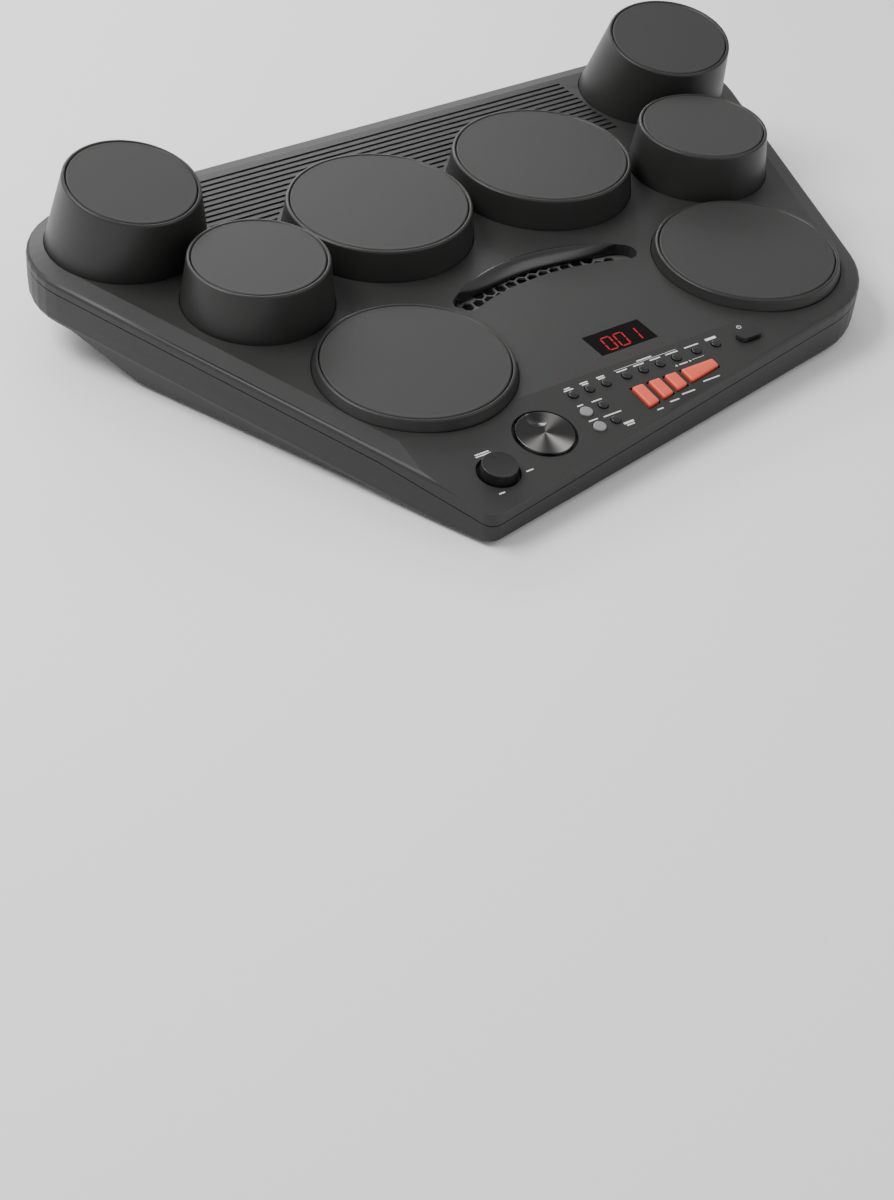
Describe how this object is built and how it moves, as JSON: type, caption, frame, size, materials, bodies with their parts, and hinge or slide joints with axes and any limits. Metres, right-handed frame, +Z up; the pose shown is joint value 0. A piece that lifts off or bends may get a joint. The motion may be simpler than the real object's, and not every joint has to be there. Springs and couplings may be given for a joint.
{
  "type": "electronic drum pad unit",
  "caption": "Tabletop electronic practice drum unit with round pads, a slanted control strip, dial, volume knob and rear sockets.",
  "frame": {"origin": "centre of the footprint, on the plane under the rubber feet", "axes": "+X to the player's right, +Y away from the player, +Z up"},
  "size_m": [0.601, 0.425, 0.1293],
  "materials": {
    "case_plastic": "charcoal, fine texture",
    "pad_rubber": "matte dark grey rubber",
    "pad_rim": "matte dark grey, smooth",
    "coral_button": "satin coral red",
    "grey_button": "satin mid grey",
    "black_button": "satin black",
    "circuit_board": "green solder mask",
    "steel": "zinc plated",
    "foam": "black foam",
    "piezo_brass": "satin",
    "foot_rubber": "matte black",
    "display_window": "gloss smoked",
    "display_module": "matte dark red",
    "red_led": "translucent red",
    "gloss_black": "glossy black",
    "satin_black": "satin black",
    "speaker": "black frame and paper cone",
    "mesh_black": "matte black",
    "component_black": "matte black"
  },
  "bodies": {
    "unit": {"top_cover": "case_plastic", "bottom_cover": "case_plastic", "battery_contacts": "steel", "rubber_feet": "foot_rubber", "case_screws": "steel", "pad_cup_front_left": "pad_rim", "pad_cup_front_right": "pad_rim", "pad_cup_mid_left": "pad_rim", "pad_cup_mid_right": "pad_rim", "pad_cup_side_left": "pad_rim", "pad_cup_side_right": "pad_rim", "pad_cup_rear_left": "pad_rim", "pad_cup_rear_right": "pad_rim", "pad_skin_front_left": "pad_rubber", "pad_skin_front_right": "pad_rubber", "pad_skin_mid_left": "pad_rubber", "pad_skin_mid_right": "pad_rubber", "pad_skin_side_left": "pad_rubber", "pad_skin_side_right": "pad_rubber", "pad_skin_rear_left": "pad_rubber", "pad_skin_rear_right": "pad_rubber", "sensor_plates": "steel", "sensor_foam": "foam", "piezo_sensors": "piezo_brass", "pad_screws": "steel", "dial_encoder": "component_black", "volume_pot": "component_black", "display_window": "display_window", "display_module": "display_module", "indicator_leds": "red_led", "tact_switches": "component_black", "panel_board": "circuit_board", "main_board": "circuit_board", "rear_sockets": "component_black", "speakers": "speaker", "speaker_mesh": "mesh_black"},
    "dial": {"data_dial": "gloss_black", "dial_shaft": "steel"},
    "knob": {"volume_knob": "satin_black", "volume_shaft": "steel"},
    "door": {"battery_door": "case_plastic"},
    "function_button_1_body": {"function_button_1": "black_button"},
    "function_button_2_body": {"function_button_2": "black_button"},
    "function_button_3_body": {"function_button_3": "black_button"},
    "function_button_4_body": {"function_button_4": "black_button"},
    "function_button_5_body": {"function_button_5": "black_button"},
    "function_button_6_body": {"function_button_6": "black_button"},
    "function_button_7_body": {"function_button_7": "black_button"},
    "function_button_8_body": {"function_button_8": "black_button"},
    "function_button_9_body": {"function_button_9": "black_button"},
    "click_button_body": {"click_button": "black_button"},
    "tempo_button_body": {"tempo_button": "black_button"},
    "kit_button_body": {"kit_button": "grey_button"},
    "song_button_body": {"song_button": "grey_button"},
    "rec_button_body": {"rec_button": "coral_button"},
    "break_button_body": {"break_button": "coral_button"},
    "repeat_button_body": {"repeat_button": "coral_button"},
    "start_button_body": {"start_button": "coral_button"},
    "power_button_body": {"power_button": "black_button"}
  },
  "joints": [
    {"name": "function_button_1_press", "type": "slide", "parent": "unit", "child": "function_button_1_body", "axis": [0, 0.1925, -0.9813], "range_m": [0, 0.001], "stiffness_N_per_m": 200},
    {"name": "function_button_2_press", "type": "slide", "parent": "unit", "child": "function_button_2_body", "axis": [0, 0.1925, -0.9813], "range_m": [0, 0.001], "stiffness_N_per_m": 200},
    {"name": "function_button_3_press", "type": "slide", "parent": "unit", "child": "function_button_3_body", "axis": [0, 0.1925, -0.9813], "range_m": [0, 0.001], "stiffness_N_per_m": 200},
    {"name": "function_button_4_press", "type": "slide", "parent": "unit", "child": "function_button_4_body", "axis": [0, 0.1925, -0.9813], "range_m": [0, 0.001], "stiffness_N_per_m": 200},
    {"name": "function_button_5_press", "type": "slide", "parent": "unit", "child": "function_button_5_body", "axis": [0, 0.1925, -0.9813], "range_m": [0, 0.001], "stiffness_N_per_m": 200},
    {"name": "function_button_6_press", "type": "slide", "parent": "unit", "child": "function_button_6_body", "axis": [0, 0.1925, -0.9813], "range_m": [0, 0.001], "stiffness_N_per_m": 200},
    {"name": "function_button_7_press", "type": "slide", "parent": "unit", "child": "function_button_7_body", "axis": [0, 0.1925, -0.9813], "range_m": [0, 0.001], "stiffness_N_per_m": 200},
    {"name": "function_button_8_press", "type": "slide", "parent": "unit", "child": "function_button_8_body", "axis": [0, 0.1925, -0.9813], "range_m": [0, 0.001], "stiffness_N_per_m": 200},
    {"name": "function_button_9_press", "type": "slide", "parent": "unit", "child": "function_button_9_body", "axis": [0, 0.1925, -0.9813], "range_m": [0, 0.001], "stiffness_N_per_m": 200},
    {"name": "click_button_press", "type": "slide", "parent": "unit", "child": "click_button_body", "axis": [0, 0.1925, -0.9813], "range_m": [0, 0.001], "stiffness_N_per_m": 200},
    {"name": "tempo_button_press", "type": "slide", "parent": "unit", "child": "tempo_button_body", "axis": [0, 0.1925, -0.9813], "range_m": [0, 0.001], "stiffness_N_per_m": 200},
    {"name": "kit_button_press", "type": "slide", "parent": "unit", "child": "kit_button_body", "axis": [0, 0.1925, -0.9813], "range_m": [0, 0.001], "stiffness_N_per_m": 200},
    {"name": "song_button_press", "type": "slide", "parent": "unit", "child": "song_button_body", "axis": [0, 0.1925, -0.9813], "range_m": [0, 0.001], "stiffness_N_per_m": 200},
    {"name": "rec_button_press", "type": "slide", "parent": "unit", "child": "rec_button_body", "axis": [0, 0.1925, -0.9813], "range_m": [0, 0.001], "stiffness_N_per_m": 200},
    {"name": "break_button_press", "type": "slide", "parent": "unit", "child": "break_button_body", "axis": [0, 0.1925, -0.9813], "range_m": [0, 0.001], "stiffness_N_per_m": 200},
    {"name": "repeat_button_press", "type": "slide", "parent": "unit", "child": "repeat_button_body", "axis": [0, 0.1925, -0.9813], "range_m": [0, 0.001], "stiffness_N_per_m": 200},
    {"name": "start_button_press", "type": "slide", "parent": "unit", "child": "start_button_body", "axis": [0, 0.1925, -0.9813], "range_m": [0, 0.001], "stiffness_N_per_m": 200},
    {"name": "power_button_press", "type": "slide", "parent": "unit", "child": "power_button_body", "axis": [0, 0.1925, -0.9813], "range_m": [0, 0.001], "stiffness_N_per_m": 200},
    {"name": "dial_turn", "type": "hinge", "parent": "unit", "child": "dial", "pos_m": [-0.10436, -0.16622, 0.03381], "axis": [0, -0.1925, 0.9813], "continuous": true},
    {"name": "volume_turn", "type": "hinge", "parent": "unit", "child": "knob", "pos_m": [-0.15146, -0.18192, 0.03073], "axis": [0, -0.1925, 0.9813], "range_deg": [-150, 150]},
    {"name": "door_slide", "type": "slide", "parent": "unit", "child": "door", "axis": [0, 1, 0], "range_m": [0, 0.06]}
  ]
}
